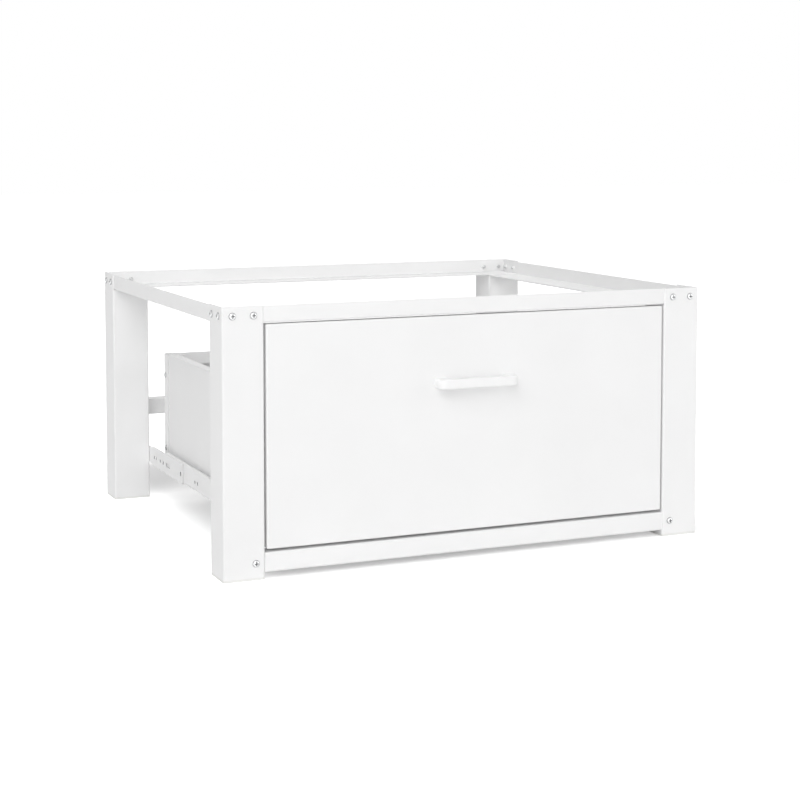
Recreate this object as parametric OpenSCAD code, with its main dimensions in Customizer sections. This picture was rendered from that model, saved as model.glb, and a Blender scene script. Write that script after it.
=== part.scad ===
// Washing machine pedestal with one full-width drawer.
// A bolted frame of box legs and angle rails carries the machine; a sheet steel drawer runs
// between the legs on a pair of ball bearing slides.
// X runs left to right, Y from front to back, Z up. The front faces -Y.

/* [Frame] */
// Width over the legs
frame_w = 630; // [560:5:700]
// Depth over the legs, without the handle
frame_d = 540; // [530:5:600]
// Height from the floor to the top edge
frame_h = 315; // [290:5:400]

/* [Legs] */
// Leg width, seen from the front
leg_w = 50; // [44:1:60]
// Leg depth, seen from the side
leg_d = 48; // [44:1:60]
// Wall of the leg tube
leg_t = 1.5; // [1:0.1:2.5]
// Outside radius of the leg's folded corners
leg_r = 2.5; // [1.6:0.1:4]
// Height of the foot cap's flange under the leg
foot_h = 3; // [2:0.5:6]
// Depth that the foot cap's plug reaches into the leg
plug_h = 12; // [8:1:20]
// Wall of the foot cap's plug
plug_t = 2; // [1.5:0.5:4]

/* [Top rails] */
// Height of the upright flange
rail_h = 20; // [17:1:30]
// Sheet thickness of the rails
rail_t = 1.5; // [1:0.1:2.5]
// Outside radius of the rail's fold
rail_r = 2.5; // [2.6:0.1:4]

/* [Lower front rail and rear crossbar] */
// Underside of the lower front rail
low_z = 8; // [5:0.5:10]
// Height of the lower front rail
low_h = 23; // [18:1:24]
// Underside of the rear crossbar
cross_z = 112; // [90:1:160]
// Height of the rear crossbar
cross_h = 22.5; // [16:0.5:30]
// Depth of the lower rail and the crossbar
channel_d = 20; // [14:1:30]
// Sheet thickness of the lower rail and the crossbar
channel_t = 1.5; // [1:0.1:2]
// Length of the tab that each of them pushes into a leg
tab_l = 22; // [16:1:26]

/* [Machine screws] */
// Thread diameter of the frame's screws
bolt_d = 5; // [4:0.5:6]
// Diameter of the domed head
head_d = 8.5; // [8:0.1:10]
// Height of the domed head
head_h = 2.4; // [1.6:0.1:3]
// Distance of the outer screw from the leg's outer corner
bolt_in_1 = 12.5; // [11:0.5:15]
// Distance of the inner screw from the leg's outer corner
bolt_in_2 = 37.5; // [30:0.5:38]
// Depth of the screws below the top edge
bolt_drop = 11; // [8:0.5:12]
// Height of the threaded collars pulled from the rails
collar_h = 2; // [1:0.5:3]
// Outside diameter of the threaded collars
collar_d = 7; // [6.6:0.1:9]
// Length of the screw's tip beyond its collar
bolt_tip = 2; // [1:0.5:4]

/* [Drawer front] */
// Gap between the drawer front and each leg
front_gap = 2.7; // [1.5:0.1:4]
// Gap between the drawer front and the top rail
front_gap_top = 1.7; // [1.5:0.1:4]
// Gap between the drawer front and the lower rail
front_gap_low = 3.5; // [2:0.1:5]
// Depth of the folded drawer front
front_d = 15; // [12:0.5:17]
// Sheet thickness of the drawer front
front_t = 1; // [0.8:0.1:1.5]
// Radius of the drawer front's edges and corners
front_r = 2; // [1.6:0.1:4]

/* [Drawer box] */
// Sheet thickness of the box
box_t = 1; // [0.8:0.1:1.5]
// Underside of the box above the floor
box_z = 42; // [40:0.5:44]
// Height of the box
box_h = 165; // [140:5:200]
// Depth of the box behind the drawer front
box_d = 443; // [430:1:460]
// Width of the folded rim on the sides and the back
rim_w = 12.5; // [9:0.5:16]
// Drop of the rim's inner lip on the sides
rim_drop = 6; // [4:0.5:10]
// Drop of the rim's inner lip on the back
rim_drop_back = 15; // [8:1:20]
// Width of the lips that carry the bottom
lip_w = 14; // [10:1:20]
// Reach of the back's flanges round the sides
wrap_w = 18; // [14:1:24]

/* [Handle] */
// Length of the handle
handle_l = 104; // [90:1:140]
// Height of the handle
handle_h = 12; // [10:0.5:16]
// Reach of the handle from the drawer front
handle_reach = 19; // [17:0.5:30]
// Thickness of the grip bar
handle_t = 8; // [6:0.5:10]
// Width of each foot on the drawer front
handle_foot = 16; // [12:0.5:20]
// Radius of the handle's outer corners
handle_r = 9; // [5:0.5:10]
// Radius of the handle's long edges
handle_edge_r = 2.5; // [1.5:0.5:4]
// Middle of the handle above the floor
handle_z = 214; // [190:1:240]

/* [Slides] */
// Height of the slide
slide_h = 27; // [26:0.5:30]
// Middle of the slide above the floor
slide_z = 61; // [60:0.5:62]
// Length of the cabinet member
slide_l = 400; // [380:5:410]
// Thickness over both members
slide_t = 12; // [11.5:0.1:13]
// Sheet thickness of both members
member_t = 1.2; // [1:0.1:1.3]
// Diameter of the balls
ball_d = 4; // [3.6:0.1:4.2]
// Running gap between a ball and its races
race_gap = 0.3; // [0.2:0.05:0.4]
// Distance between the balls
ball_pitch = 11; // [8:0.5:16]
// Sheet thickness of the ball cage
cage_t = 0.6; // [0.4:0.1:0.7]
// Travel of the drawer, which sets the length of the ball cage
travel = 280; // [200:5:285]
// Sheet thickness of the bracket behind the slide
bracket_t = 1.5; // [1:0.1:2]
// Distance that the bracket laps over the slide
bracket_lap = 89; // [80:1:110]
// Distance that the bracket laps over the rear leg
bracket_on_leg = 18; // [16:1:22]
// Height of the bracket where it lies on the rear leg
bracket_tab_h = 22; // [16:0.5:26]
// Length over which the bracket narrows in front of the rear leg
bracket_taper = 22; // [10:1:22]
// Distance between the bracket's spare holes
hole_pitch = 10; // [8:0.5:10.5]
// Thickness of the rubber stop at the slide's rear end
stop_l = 5; // [3:0.5:8]

/* [Small screws] */
// Thread diameter of the small screws
screw_d = 4; // [3:0.5:4.5]
// Head diameter of the small screws
screw_head_d = 7.4; // [7:0.1:7.8]
// Head height of the small screws
screw_head_h = 1.8; // [1.2:0.1:2]

/* [Hidden] */
$fn = 48;

// Small distances
fit = 0.1;          // clearance of a screw in its hole
seat = 0.2;         // clearance between sheets that lie side by side
eps = 0.01;         // overlap that joins the pieces of one solid
white = "#f2f2f0";
zinc = "#b9bdc0";

// The row's middle lies between the handle's grip and the rear screw heads
shift_y = (handle_reach - head_h) / 2;
half_w = frame_w / 2;
half_d = frame_d / 2;
leg_in_x = half_w - leg_w;      // inner face of a leg
leg_in_y = half_d - leg_d;      // face of a leg towards the middle
rail_z = frame_h - rail_h;      // underside of the front and rear rails
side_rail_z = rail_z - rail_t;  // the side rails' level flanges lie one sheet lower, on the legs
bolt_z = frame_h - bolt_drop;

// Drawer front
front_w = 2 * (leg_in_x - front_gap);
front_z = low_z + low_h + front_gap_low;
front_top = rail_z - front_gap_top;
front_h = front_top - front_z;
front_back_y = -half_d + front_d;

// Slides, from the leg's inner face towards the middle
slide_x = -leg_in_x + bracket_t;        // outer face of the left slide
box_x = -slide_x - slide_t;             // outer face of the box's sides
slide_front_y = front_back_y + 5;       // front end of the members
slide_rear_y = slide_front_y + slide_l;
race_r = ball_d / 2 + race_gap;
ball_w = slide_h / 2 - member_t - race_r;               // ball centre above the slide's middle
outer_u = 2 * member_t + 6;                             // depth of the cabinet member
ball_u = outer_u / 2;                                   // ball centre from the outer face
flange_top = ball_w - race_r;                           // top of the drawer member's flange
cage_u = member_t + race_gap;                           // outer face of the cage
cage_y = slide_front_y + (slide_l - stop_l) / 2;        // middle of the cage at rest
drawer_member_l = slide_l - stop_l - race_gap;
cage_l = drawer_member_l - travel - 2 * stop_l;         // as long as both members still overlap
ball_count = floor((cage_l - ball_d - 2) / ball_pitch) + 1;
member_r = outer_u / 2 - seat;                          // outside radius of the cabinet member

// Drawer box
box_front_y = front_back_y;
box_rear_y = box_front_y + box_d;
box_top = box_z + box_h;
lip_gap = 1;                            // lips and rims stay this far from the next fold
back_top = box_top - box_t;             // the back lies one sheet lower than the sides

module in_row() translate([0, shift_y, 0]) children();
module mirror_x() {
    children();
    mirror([1, 0, 0]) children();
}
module four_corners() mirror_x() {
    children();
    mirror([0, 1, 0]) children();
}

// A rectangle with round corners, from true arcs
module round_rect(w, d, r) {
    translate([r, 0]) square([w - 2 * r, d]);
    translate([0, r]) square([w, d - 2 * r]);
    for (x = [r, w - r], y = [r, d - r]) translate([x, y]) circle(r);
}

// A strip of folded sheet: an angle with legs a along x and b along y, outside radius r
module angle_profile(a, b, t, r) {
    difference() {
        union() {
            translate([r, 0]) square([a - r, t]);
            translate([0, r]) square([t, b - r]);
            intersection() {
                translate([r, r]) circle(r);
                square([r, r]);
            }
        }
        translate([r, r]) circle(r - t);
    }
}

// Turns a drawing in x and z into a bar that runs from y0 to y1
module along_y(y0, y1) translate([0, y1, 0]) rotate([90, 0, 0]) linear_extrude(y1 - y0) children();
// Turns a drawing in y and z into a bar that runs from x0 to x1
module along_x(x0, x1) translate([x0, 0, 0]) rotate([90, 0, 90]) linear_extrude(x1 - x0) children();

// A domed head with a cross recess, its shank pointing down from z = 0
module domed_screw(d, head, rise, length) {
    dome_r = (head * head / 4 + rise * rise) / (2 * rise);
    recess_l = head * 0.56;
    recess_w = head * 0.13;
    difference() {
        union() {
            intersection() {
                translate([0, 0, rise - dome_r]) sphere(dome_r, $fn = 64);
                cylinder(h = rise, d = head);
            }
            translate([0, 0, -length]) cylinder(h = length + eps, d = d);
        }
        for (turn = [0, 90]) rotate(turn)
            translate([-recess_l / 2, -recess_w / 2, rise * 0.45]) cube([recess_l, recess_w, rise]);
    }
}

// ---------- Legs and feet ----------

// Places of the top screws of one leg: [distance along the face]
bolt_steps = [bolt_in_1, bolt_in_2];

// Puts its child at each top screw of the front left leg, +Z out of the leg
module at_top_bolts() for (s = bolt_steps) {
    translate([-half_w + s, -half_d, bolt_z]) rotate([90, 0, 0]) children();
    translate([-half_w, -half_d + s, bolt_z]) rotate([0, -90, 0]) children();
}

// The front left leg: a tube whose two inner walls stop under the rails
module leg_tube() difference() {
    translate([-half_w, -half_d, foot_h]) linear_extrude(frame_h - foot_h) difference() {
        round_rect(leg_w, leg_d, leg_r);
        translate([leg_t, leg_t]) round_rect(leg_w - 2 * leg_t, leg_d - 2 * leg_t, leg_r - leg_t);
    }
    translate([-half_w + leg_t, -half_d + leg_t, side_rail_z])
        cube([leg_w, leg_d, rail_h + rail_t + 1]);
    at_top_bolts() translate([0, 0, -leg_t - 1]) cylinder(h = leg_t + 2, d = bolt_d + 2 * fit);
}

// Tab hole and screw hole for a channel that starts at height z and is h high
tab_screw_x = leg_in_x + tab_l / 2;
tab_edge = 2;                           // the tab is this much lower than its channel
module tab_cuts(z, h) {
    translate([-leg_in_x - leg_t - 1, -half_d + leg_t - seat / 2, z + tab_edge - seat])
        cube([leg_t + 2, channel_t + seat, h - 2 * tab_edge + 2 * seat]);
    translate([-tab_screw_x, -half_d + leg_t + 1, z + h / 2]) rotate([90, 0, 0])
        cylinder(h = leg_t + 2, d = screw_d + 2 * fit);
}

// Holes in the inner wall for the slide's screws, at the given distances from the leg's end face
module wall_holes(steps) for (y = steps)
    translate([-leg_in_x - leg_t - 1, y, slide_z]) rotate([0, 90, 0])
        cylinder(h = leg_t + 2, d = screw_d + 2 * fit);

slide_screw_y = [slide_front_y + 7, slide_front_y + 21];
bracket_end_y = leg_in_y + bracket_on_leg;
bracket_screw_y = [bracket_end_y - 9];

module leg_front_left() color(white) in_row() difference() {
    leg_tube();
    tab_cuts(low_z, low_h);
    wall_holes(slide_screw_y);
}
module leg_front_right() mirror([1, 0, 0]) leg_front_left();
module leg_rear_left() color(white) in_row() difference() {
    mirror([0, 1, 0]) difference() {
        leg_tube();
        tab_cuts(cross_z, cross_h);
    }
    wall_holes(bracket_screw_y);
}
module leg_rear_right() mirror([1, 0, 0]) leg_rear_left();

// The front left foot cap: a flange under the tube and a hollow plug inside it
module foot_cap() difference() {
    union() {
        translate([-half_w, -half_d, 0]) linear_extrude(foot_h) round_rect(leg_w, leg_d, leg_r);
        translate([-half_w + leg_t + seat, -half_d + leg_t + seat, 0]) linear_extrude(foot_h + plug_h)
            round_rect(leg_w - 2 * (leg_t + seat), leg_d - 2 * (leg_t + seat), leg_r - leg_t);
    }
    wall = leg_t + seat + plug_t;
    translate([-half_w + wall, -half_d + wall, foot_h])
        cube([leg_w - 2 * wall, leg_d - 2 * wall, plug_h + 1]);
    // The lower rail's tab passes over the plug's wall
    tab_x = tab_l + 1 - leg_t;
    translate([-leg_in_x - leg_t - tab_x, -half_d + leg_t, low_z + tab_edge - 1])
        cube([tab_x, channel_t + 1, plug_h + foot_h]);
}
module foot_cap_front_left() color(white) in_row() foot_cap();
module foot_cap_front_right() mirror([1, 0, 0]) foot_cap_front_left();
module foot_cap_rear_left() color(white) in_row() mirror([0, 1, 0]) foot_cap();
module foot_cap_rear_right() mirror([1, 0, 0]) foot_cap_rear_left();

// ---------- Top rails ----------

flange_x = leg_w - leg_t;               // the level flange is as wide as the leg under it
flange_y = leg_d - leg_t;

// A collar pulled inward from a rail's sheet, and the hole through it
module collar() translate([0, 0, -leg_t - rail_t - collar_h])
    cylinder(h = collar_h + rail_t / 2, d = collar_d);
module bolt_hole() translate([0, 0, -leg_t - rail_t - collar_h - 1])
    cylinder(h = leg_t + rail_t + collar_h + 2, d = bolt_d + 2 * fit);

// Front rail: an angle, its upright flange just inside the legs' outer walls, its level flange
// on top of the side rails' level flanges
module cross_rail() difference() {
    flange_l = frame_w - 2 * (leg_t + rail_r) - seat;
    union() {
        along_x(-flange_l / 2, flange_l / 2) translate([-half_d + leg_t, rail_z])
            angle_profile(flange_y, rail_h, rail_t, rail_r);
        translate([-half_w + leg_t, -half_d + leg_t, rail_z + rail_r])
            cube([frame_w - 2 * leg_t, rail_t, rail_h - rail_r]);
        mirror_x() for (s = bolt_steps)
            translate([-half_w + s, -half_d, bolt_z]) rotate([90, 0, 0]) collar();
    }
    four_corners() at_top_bolts() bolt_hole();
}

// Left rail: the same angle between the front and rear rails, one sheet lower
module side_rail() difference() {
    side_l = frame_d - 2 * (leg_t + rail_t) - seat;
    union() {
        along_y(-side_l / 2, side_l / 2) translate([-half_w + leg_t, side_rail_z])
            angle_profile(flange_x, rail_h, rail_t, rail_r);
        for (side = [-1, 1], s = bolt_steps)
            translate([-half_w, side * (half_d - s), bolt_z]) rotate([0, -90, 0]) collar();
    }
    four_corners() at_top_bolts() bolt_hole();
}
module top_rail_front() color(white) in_row() cross_rail();
module top_rail_rear() color(white) in_row() mirror([0, 1, 0]) cross_rail();
module top_rail_left() color(white) in_row() side_rail();
module top_rail_right() mirror([1, 0, 0]) top_rail_left();

// ---------- Lower front rail and rear crossbar ----------

// A channel along the front, open to the inside
module open_profile(h) difference() {
    round_rect(channel_d + leg_r, h, leg_r);
    translate([channel_t, channel_t])
        round_rect(channel_d + leg_r, h - 2 * channel_t, leg_r - channel_t);
    translate([channel_d, -1]) square([leg_r + 1, h + 2]);
}
// The same as a closed tube
module closed_profile(h) difference() {
    round_rect(channel_d, h, leg_r);
    translate([channel_t, channel_t])
        round_rect(channel_d - 2 * channel_t, h - 2 * channel_t, leg_r - channel_t);
}

// Makes a bar along the front from its child's profile, with a tab into each leg
module cross_bar(z, h) difference() {
    union() {
        along_x(-leg_in_x, leg_in_x) translate([-half_d, z]) children();
        mirror_x() translate([-leg_in_x - tab_l, -half_d + leg_t, z + tab_edge])
            cube([2 * tab_l, channel_t, h - 2 * tab_edge]);
    }
    mirror_x() translate([-tab_screw_x, -half_d + leg_t + channel_t + 1, z + h / 2])
        rotate([90, 0, 0]) cylinder(h = channel_t + 2, d = screw_d + 2 * fit);
}
module lower_front_rail() color(white) in_row() cross_bar(low_z, low_h) open_profile(low_h);
module rear_crossbar() color(white) in_row() mirror([0, 1, 0])
    cross_bar(cross_z, cross_h) closed_profile(cross_h);

// ---------- Frame fasteners ----------

bolt_l = leg_t + rail_t + collar_h + bolt_tip;
module frame_screws() color(zinc) in_row() four_corners() at_top_bolts()
    domed_screw(bolt_d, head_d, head_h, bolt_l);

tab_screw_l = leg_t + channel_t + 6;
module tab_screws() color(zinc) in_row() mirror_x() {
    translate([-tab_screw_x, -half_d, low_z + low_h / 2]) rotate([90, 0, 0])
        domed_screw(screw_d, head_d, head_h, tab_screw_l);
    translate([-tab_screw_x, half_d, cross_z + cross_h / 2]) rotate([-90, 0, 0])
        domed_screw(screw_d, head_d, head_h, tab_screw_l);
}

// ---------- Slides, drawn for the left side ----------

// Brings a drawing in depth u and height w to the left slide's place
module at_slide() translate([slide_x, 0, slide_z]) children();

csk_d = 2 * screw_d;                    // sunk head of the slide's screws
pad_r = csk_d / 2 + 2;                 // pressed pad round a sunk screw
module sunk_screw(length) {
    cylinder(h = member_t, d1 = screw_d, d2 = csk_d);
    translate([0, 0, -length]) cylinder(h = length + eps, d = screw_d);
}

// Cabinet member: a web with a round race and a lip along both edges
module cabinet_profile() {
    race_top = race_r * 0.4;
    lip_end = ball_w - 1.6;
    web_h = slide_h - 2 * member_r;
    difference() {
        union() {
            translate([0, -web_h / 2]) square([member_t, web_h]);
            for (side = [-1, 1]) scale([1, side]) intersection() {
                translate([0, slide_h / 2 - 3 * member_r]) round_rect(outer_u, 3 * member_r, member_r);
                translate([-1, lip_end]) square([outer_u + 2, slide_h]);
            }
        }
        for (side = [-1, 1]) scale([1, side]) {
            translate([ball_u, ball_w]) circle(race_r);
            translate([member_t, 0]) square([outer_u - 2 * member_t, ball_w + race_top]);
        }
    }
}
// Spare holes of the bracket and the member, a little below the slide's middle
member_hole_r = screw_d / 2 + 0.4;
web_window_r = 3;
web_window_y = slide_rear_y - bracket_lap + 3 * web_window_r;
web_pair_y = slide_rear_y - 14 * hole_pitch;
hole_w = -1;
module cabinet_member() at_slide() difference() {
    union() {
        along_y(slide_front_y, slide_rear_y) cabinet_profile();
        // pressed pads that reach the leg
        for (y = slide_screw_y) translate([-bracket_t, y, 0]) rotate([0, 90, 0])
            cylinder(h = bracket_t + eps, r = pad_r);
        // stop for the ball cage, bent up from the web
        translate([member_t - eps, slide_front_y + 3.2, -4]) cube([cage_t + 1, member_t, 8]);
    }
    for (y = slide_screw_y) translate([0, y, 0]) rotate([0, 90, 0]) {
        cylinder(h = 2 * member_t, d1 = screw_d + 2 * fit, d2 = 2 * csk_d - screw_d + 2 * fit);
        translate([0, 0, -bracket_t - 1]) cylinder(h = bracket_t + 2, d = screw_d + 2 * fit);
    }
    translate([-1, web_window_y, hole_w]) rotate([0, 90, 0])
        cylinder(h = member_t + 2, r = web_window_r);
    for (y = [0, 1.2 * hole_pitch]) translate([-1, web_pair_y - y, hole_w]) rotate([0, 90, 0])
        cylinder(h = member_t + 2, r = member_hole_r);
}
module cabinet_member_left() color(zinc) in_row() cabinet_member();
module cabinet_member_right() mirror([1, 0, 0]) cabinet_member_left();

// Bracket: a perforated plate from the slide's rear end to the rear leg
bracket_y = slide_rear_y - bracket_lap;
bracket_holes = [2.35 * hole_pitch, 3.35 * hole_pitch, 5.35 * hole_pitch, 6.85 * hole_pitch];
bracket_slot = [8.5 * hole_pitch, 9.9 * hole_pitch];
module bracket_outline() {
    polygon([
        [bracket_y, -slide_h / 2], [leg_in_y - bracket_taper, -slide_h / 2],
        [leg_in_y, -bracket_tab_h / 2], [bracket_end_y - bracket_tab_h / 2, -bracket_tab_h / 2],
        [bracket_end_y - bracket_tab_h / 2, bracket_tab_h / 2], [leg_in_y, bracket_tab_h / 2],
        [leg_in_y - bracket_taper, slide_h / 2], [bracket_y, slide_h / 2]
    ]);
    translate([bracket_end_y - bracket_tab_h / 2, 0]) circle(bracket_tab_h / 2);
}
module bracket_plate() translate([-leg_in_x, 0, slide_z]) rotate([90, 0, 90])
    linear_extrude(bracket_t) difference() {
        bracket_outline();
        translate([bracket_screw_y[0], 0]) circle(screw_d / 2 + fit);
        translate([web_window_y, hole_w]) circle(web_window_r);
        // row of spare holes and a slot, measured from the leg's face
        for (back = bracket_holes) translate([leg_in_y - back, hole_w]) circle(member_hole_r);
        for (back = bracket_slot) translate([leg_in_y - back, hole_w]) circle(member_hole_r);
        translate([leg_in_y - bracket_slot[1], hole_w - member_hole_r])
            square([bracket_slot[1] - bracket_slot[0], 2 * member_hole_r]);
    }
module slide_bracket_left() color(zinc) in_row() bracket_plate();
module slide_bracket_right() mirror([1, 0, 0]) slide_bracket_left();

// Rubber stop clipped into the rear end of the cabinet member
module slide_stop() at_slide() translate([member_t, slide_rear_y - stop_l, -flange_top])
    cube([slide_t - 2 * member_t - member_t, stop_l, 2 * flange_top]);
module slide_stop_left() color("#3c3d3f") in_row() slide_stop();
module slide_stop_right() mirror([1, 0, 0]) slide_stop_left();

slide_screw_l = bracket_t + leg_t + 5;
module slide_screws() color(zinc) in_row() mirror_x() {
    for (y = slide_screw_y) translate([slide_x, y, slide_z]) rotate([0, 90, 0])
        sunk_screw(slide_screw_l);
    for (y = bracket_screw_y) translate([slide_x, y, slide_z]) rotate([0, 90, 0])
        domed_screw(screw_d, screw_head_d, screw_head_h, slide_screw_l);
}

// Ball cage: a thin channel with a hole for each ball
module at_balls() for (side = [-1, 1], i = [0 : ball_count - 1])
    translate([ball_u, cage_y + (i - (ball_count - 1) / 2) * ball_pitch, side * ball_w]) children();
module ball_cage() at_slide() difference() {
    cage_edge = outer_u - cage_u;
    along_y(cage_y - cage_l / 2, cage_y + cage_l / 2) difference() {
        translate([cage_u, -ball_w - cage_t / 2]) square([cage_edge - cage_u, 2 * ball_w + cage_t]);
        translate([cage_u + cage_t, -ball_w + cage_t / 2])
            square([cage_edge, 2 * ball_w - cage_t]);
    }
    at_balls() translate([0, 0, -cage_t]) cylinder(h = 2 * cage_t, d = ball_d + fit);
}
module ball_cage_left() color("#c8c3b4") in_row() ball_cage();
module ball_cage_right() mirror([1, 0, 0]) ball_cage_left();
module balls_left() color("#d8dadc") in_row() at_slide() at_balls() sphere(d = ball_d, $fn = 24);
module balls_right() mirror([1, 0, 0]) balls_left();

// Drawer member: a channel whose flanges end in a shallow race under each row of balls
module drawer_member_profile() {
    lip_half = 1.8;
    for (side = [-1, 1]) scale([1, side]) {
        difference() {
            intersection() {
                translate([ball_u, ball_w]) circle(race_r + member_t);
                translate([ball_u - lip_half, 0]) square([2 * lip_half, ball_w]);
            }
            translate([ball_u, ball_w]) circle(race_r);
        }
        translate([ball_u, flange_top - member_t]) square([slide_t - ball_u, member_t]);
    }
    translate([slide_t - member_t, -flange_top]) square([member_t, 2 * flange_top]);
}
drawer_member_y = [20, drawer_member_l / 2, drawer_member_l - 14];
module drawer_member() at_slide() difference() {
    along_y(slide_front_y, slide_front_y + drawer_member_l) drawer_member_profile();
    for (y = drawer_member_y) translate([slide_t - member_t - 1, slide_front_y + y, 0])
        rotate([0, 90, 0]) cylinder(h = member_t + 2, d = screw_d + 2 * fit);
}
module drawer_member_left() color(zinc) in_row() drawer_member();
module drawer_member_right() mirror([1, 0, 0]) drawer_member_left();

member_screw_l = member_t + box_t + 3;
module drawer_member_screws() color(zinc) in_row() mirror_x()
    for (y = drawer_member_y) translate([-box_x - member_t, slide_front_y + y, slide_z])
        rotate([0, -90, 0]) domed_screw(screw_d, screw_head_d, screw_head_h, member_screw_l);

// ---------- Drawer front and handle ----------

// A block with round front edges and round upright corners: w wide, d deep, h high
module soft_block(w, d, h, r) {
    translate([-w / 2 + r, 0, r]) cube([w - 2 * r, d, h - 2 * r]);
    translate([-w / 2, r, r]) cube([w, d - r, h - 2 * r]);
    translate([-w / 2 + r, r, 0]) cube([w - 2 * r, d - r, h]);
    for (x = [-w / 2 + r, w / 2 - r]) {
        translate([x, r, r]) cylinder(h = h - 2 * r, r = r);
        for (z = [r, h - r]) {
            translate([x, r, z]) sphere(r, $fn = 32);
            translate([x, r, z]) rotate([-90, 0, 0]) cylinder(h = d - r, r = r);
        }
    }
    for (z = [r, h - r]) translate([-w / 2 + r, r, z]) rotate([0, 90, 0])
        cylinder(h = w - 2 * r, r = r);
}

handle_screw_x = handle_l / 2 - handle_foot / 2;
module at_handle_screws() mirror_x()
    translate([-handle_screw_x, 0, handle_z]) rotate([90, 0, 0]) children();

module drawer_front() color(white) in_row() difference() {
    translate([0, -half_d, front_z]) soft_block(front_w, front_d, front_h, front_r);
    translate([0, -half_d + front_t, front_z + front_t])
        soft_block(front_w - 2 * front_t, front_d, front_h - 2 * front_t, front_r - front_t);
    at_handle_screws() translate([0, 0, half_d - front_t - 1])
        cylinder(h = front_t + 2, d = screw_d + 2 * fit);
}

// Liner that closes the back of the drawer front, inside its folded edges
liner_gap = front_t + seat;
box_screw_in = 30;                      // distance of the box's screws from its top and bottom
box_screw_z = [box_z + box_screw_in, box_top - box_screw_in];
box_screw_x = -box_x + lip_w / 2;
module at_box_screws() mirror_x() for (z = box_screw_z)
    translate([box_screw_x, box_front_y + box_t, z]) rotate([-90, 0, 0]) children();
module front_liner() color(white) in_row() difference() {
    translate([-front_w / 2 + liner_gap, front_back_y - front_t, front_z + liner_gap])
        cube([front_w - 2 * liner_gap, front_t, front_h - 2 * liner_gap]);
    at_box_screws() translate([0, 0, -box_t - front_t - 1])
        cylinder(h = box_t + front_t + 2, d = screw_d + 2 * fit);
    at_handle_screws() translate([0, 0, -front_back_y - 1])
        cylinder(h = front_t + 2, d = screw_head_d + 1);
}

// Handle: a bow in plan, with long edges rounded from the front and from the side
module handle_plan() difference() {
    union() {
        translate([-handle_l / 2, 0]) round_rect(handle_l, handle_reach, handle_r);
        translate([-handle_l / 2, handle_reach / 2]) square([handle_l, handle_reach / 2]);
    }
    gap_w = handle_l - 2 * handle_foot;
    gap_d = handle_reach - handle_t;
    gap_r = handle_r - 2;
    translate([-gap_w / 2, handle_t]) round_rect(gap_w, 2 * gap_d, gap_r);
}
module handle() color(white) in_row() difference() {
    translate([0, -half_d - handle_reach, handle_z - handle_h / 2]) intersection() {
        linear_extrude(handle_h) handle_plan();
        along_x(-handle_l / 2, handle_l / 2)
            round_rect(handle_reach + handle_edge_r, handle_h, handle_edge_r);
        along_y(0, handle_reach) translate([-handle_l / 2, 0])
            round_rect(handle_l, handle_h, handle_edge_r);
    }
    at_handle_screws() translate([0, 0, half_d - 1])
        cylinder(h = handle_reach / 2 + 1, d = screw_d + 2 * fit);
}
module handle_screws() color(zinc) in_row() mirror_x()
    translate([-handle_screw_x, -half_d + front_t, handle_z]) rotate([-90, 0, 0])
        domed_screw(screw_d, screw_head_d, screw_head_h, handle_reach / 2 - 1);

// ---------- Drawer box ----------

// Left side: wall, rim folded inward and down, lip under the bottom, flange on the front
module drawer_side() {
    wall_end = box_rear_y - box_t - seat;
    translate([-box_x, 0, 0]) {
        along_y(box_front_y, wall_end) {
            translate([0, box_z]) angle_profile(lip_w, box_h / 2, box_t, box_t + 0.5);
            translate([0, box_top]) scale([1, -1])
                angle_profile(rim_w, box_h / 2 + eps, box_t, box_t + 0.5);
            translate([rim_w - box_t, box_top - rim_drop]) square([box_t, rim_drop - box_t / 2]);
        }
        translate([box_t / 2, box_front_y, box_z + lip_w]) cube([lip_w, box_t, box_h - 2 * lip_w]);
    }
}
back_screw_z = [box_z + box_screw_in + screw_d, box_top - box_screw_in];
back_screw_y = box_rear_y - wrap_w / 3;
module at_back_screws() mirror_x() for (z = back_screw_z)
    translate([-box_x - box_t, back_screw_y, z]) rotate([0, -90, 0]) children();
module drawer_side_left() color(white) in_row() difference() {
    drawer_side();
    for (y = drawer_member_y) translate([-box_x - 1, slide_front_y + y, slide_z])
        rotate([0, 90, 0]) cylinder(h = box_t + 2, d = screw_d + 2 * fit);
    at_box_screws() translate([0, 0, -box_t - 1]) cylinder(h = box_t + 2, d = screw_d + 2 * fit);
    at_back_screws() translate([0, 0, -2 * box_t - 1])
        cylinder(h = 2 * box_t + 2, d = screw_d + 2 * fit);
}
module drawer_side_right() mirror([1, 0, 0]) drawer_side_left();

// Back: wall with a deep rim, a lip under the bottom and flanges round the sides
module drawer_back() color(white) in_row() difference() {
    outer = box_x + box_t;
    inner = box_x - rim_w - lip_gap;
    floor_lip = box_x - lip_w - lip_gap;
    union() {
        translate([-outer, box_rear_y - box_t, box_z]) cube([2 * outer, box_t, back_top - box_z]);
        mirror_x() translate([-outer, box_rear_y - wrap_w, box_z])
            cube([box_t, wrap_w, back_top - box_z]);
        translate([-inner, box_rear_y - rim_w, back_top - box_t]) cube([2 * inner, rim_w, box_t]);
        translate([-inner, box_rear_y - rim_w, back_top - rim_drop_back])
            cube([2 * inner, box_t, rim_drop_back]);
        translate([-floor_lip, box_rear_y - lip_w, box_z]) cube([2 * floor_lip, lip_w, box_t]);
    }
    at_back_screws() translate([0, 0, -2 * box_t - 1])
        cylinder(h = 2 * box_t + 2, d = screw_d + 2 * fit);
}
module box_back_screws() color(zinc) in_row() at_back_screws()
    domed_screw(screw_d, screw_head_d, screw_head_h, 2 * box_t + 3);
module box_front_screws() color(zinc) in_row() at_box_screws()
    domed_screw(screw_d, screw_head_d, screw_head_h, box_t + front_t + 4);

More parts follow.
